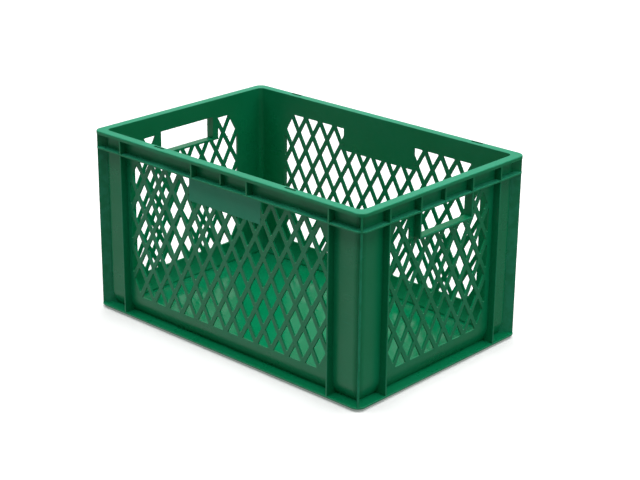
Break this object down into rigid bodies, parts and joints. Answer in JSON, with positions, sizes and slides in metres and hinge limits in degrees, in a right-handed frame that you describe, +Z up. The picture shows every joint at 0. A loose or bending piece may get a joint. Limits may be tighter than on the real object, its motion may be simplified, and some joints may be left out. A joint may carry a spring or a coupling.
{
  "type": "stacking crate",
  "caption": "Open-topped rectangular stacking crate with diamond-lattice walls, closed floor, rim channel and hand-holes in the short walls.",
  "frame": {"origin": "centre of the resting plane, at the underside of the stacking foot", "axes": "+X along the 600 mm length towards one hand-hole wall, +Y across the 400 mm width towards the wall with the hinge slots, +Z up through the open mouth"},
  "size_m": [0.6, 0.4, 0.32],
  "materials": {
    "green_plastic": "semi-gloss moulded polyethylene, solid dark green"
  },
  "bodies": {
    "root": {"cheek_left_back": "green_plastic", "cheek_left_front": "green_plastic", "cheek_right_back": "green_plastic", "cheek_right_front": "green_plastic", "corner_rib_back_left": "green_plastic", "corner_rib_back_right": "green_plastic", "corner_rib_front_left": "green_plastic", "corner_rib_front_right": "green_plastic", "curb_back": "green_plastic", "curb_corner_back_left": "green_plastic", "curb_corner_back_right": "green_plastic", "curb_corner_front_left": "green_plastic", "curb_corner_front_right": "green_plastic", "curb_front": "green_plastic", "curb_left": "green_plastic", "curb_right": "green_plastic", "floor_panel": "green_plastic", "foot_back": "green_plastic", "foot_front": "green_plastic", "foot_left": "green_plastic", "foot_right": "green_plastic", "grip_shelf_left": "green_plastic", "grip_shelf_right": "green_plastic", "hand_rib_left_back": "green_plastic", "hand_rib_left_front": "green_plastic", "hand_rib_right_back": "green_plastic", "hand_rib_right_front": "green_plastic", "label_panel_back": "green_plastic", "label_panel_front": "green_plastic", "ledge_back": "green_plastic", "ledge_front": "green_plastic", "ledge_left": "green_plastic", "ledge_right": "green_plastic", "post_back_left": "green_plastic", "post_back_right": "green_plastic", "post_front_left": "green_plastic", "post_front_right": "green_plastic", "rib_back_left": "green_plastic", "rib_back_right": "green_plastic", "rib_front_left": "green_plastic", "rib_front_right": "green_plastic", "rib_left_back": "green_plastic", "rib_left_front": "green_plastic", "rib_right_back": "green_plastic", "rib_right_front": "green_plastic", "rim_back": "green_plastic", "rim_corner_back_left": "green_plastic", "rim_corner_back_right": "green_plastic", "rim_corner_front_left": "green_plastic", "rim_corner_front_right": "green_plastic", "rim_front": "green_plastic", "rim_left": "green_plastic", "rim_right": "green_plastic", "wall_back": "green_plastic", "wall_front": "green_plastic", "wall_left": "green_plastic", "wall_right": "green_plastic"}
  },
  "joints": []
}
